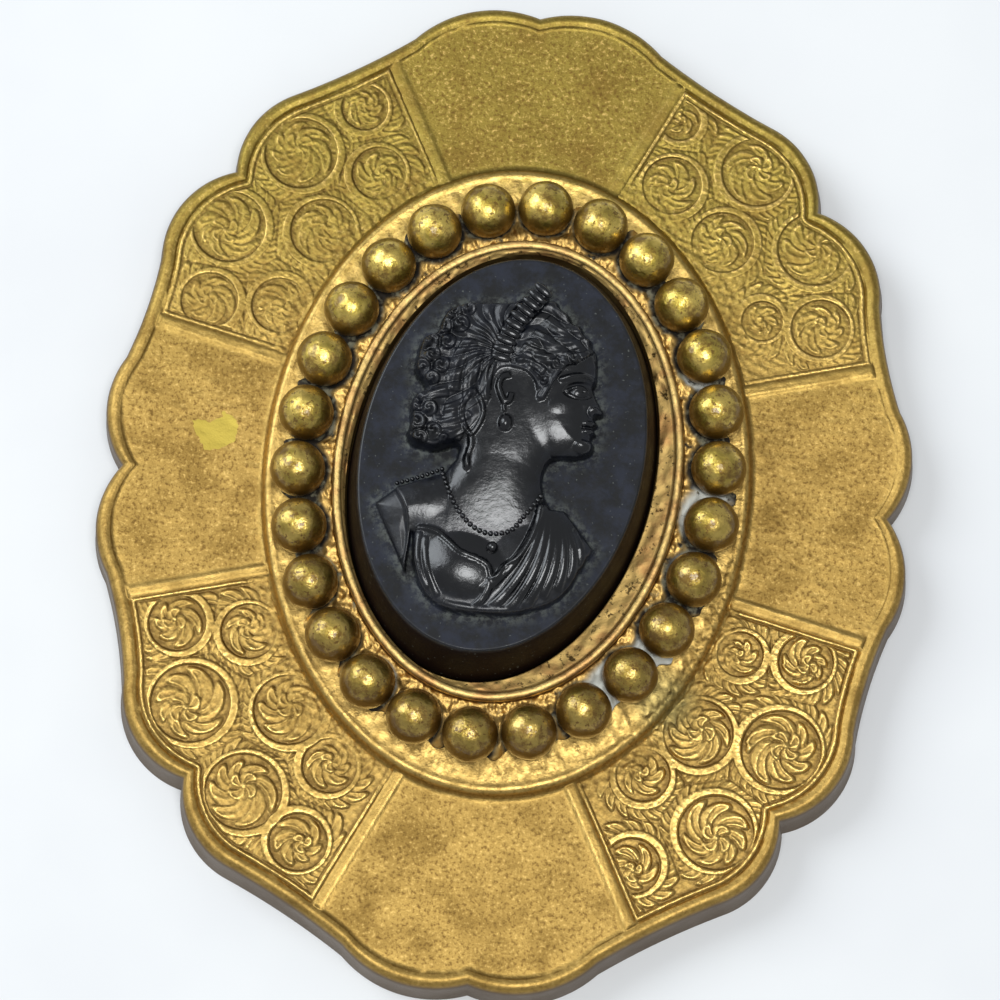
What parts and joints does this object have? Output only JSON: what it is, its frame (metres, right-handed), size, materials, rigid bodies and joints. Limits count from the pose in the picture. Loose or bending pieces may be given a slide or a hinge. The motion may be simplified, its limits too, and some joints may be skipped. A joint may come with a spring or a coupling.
{
  "type": "cameo brooch",
  "caption": "Lobed oval brass brooch with plain and scroll-stamped panels, a ring of brass beads and a raised black glass cameo of a draped bust in profile.",
  "frame": {"origin": "middle of the back rim, in the plane that the brooch rests on", "axes": "+Z out of the worn front, +Y towards the top of the brooch, +X the way the bust looks"},
  "size_m": [0.0466, 0.0584, 0.0095],
  "materials": {
    "plate_brass": "stamped brass, worn matte gilt with polished edges",
    "back_brass": "dull flat brass sheet",
    "pin_brass": "drawn brass wire",
    "bezel_gilt": "worn rose-gilt brass",
    "bead_brass": "polished brass with brown tarnish",
    "cement": "grey-white setting cement",
    "black_glass": "moulded black glass, satin face and glossy relief"
  },
  "bodies": {
    "root": {"front_plate": "plate_brass", "back_plate": "back_brass", "pin_bar": "pin_brass", "bezel_cup": "bezel_gilt", "cement_bed": "cement", "cameo": "black_glass", "bead_01": "bead_brass", "bead_02": "bead_brass", "bead_03": "bead_brass", "bead_04": "bead_brass", "bead_05": "bead_brass", "bead_06": "bead_brass", "bead_07": "bead_brass", "bead_08": "bead_brass", "bead_09": "bead_brass", "bead_10": "bead_brass", "bead_11": "bead_brass", "bead_12": "bead_brass", "bead_13": "bead_brass", "bead_14": "bead_brass", "bead_15": "bead_brass", "bead_16": "bead_brass", "bead_17": "bead_brass", "bead_18": "bead_brass", "bead_19": "bead_brass", "bead_20": "bead_brass", "bead_21": "bead_brass", "bead_22": "bead_brass", "bead_23": "bead_brass", "bead_24": "bead_brass", "bead_25": "bead_brass", "bead_26": "bead_brass"}
  },
  "joints": []
}
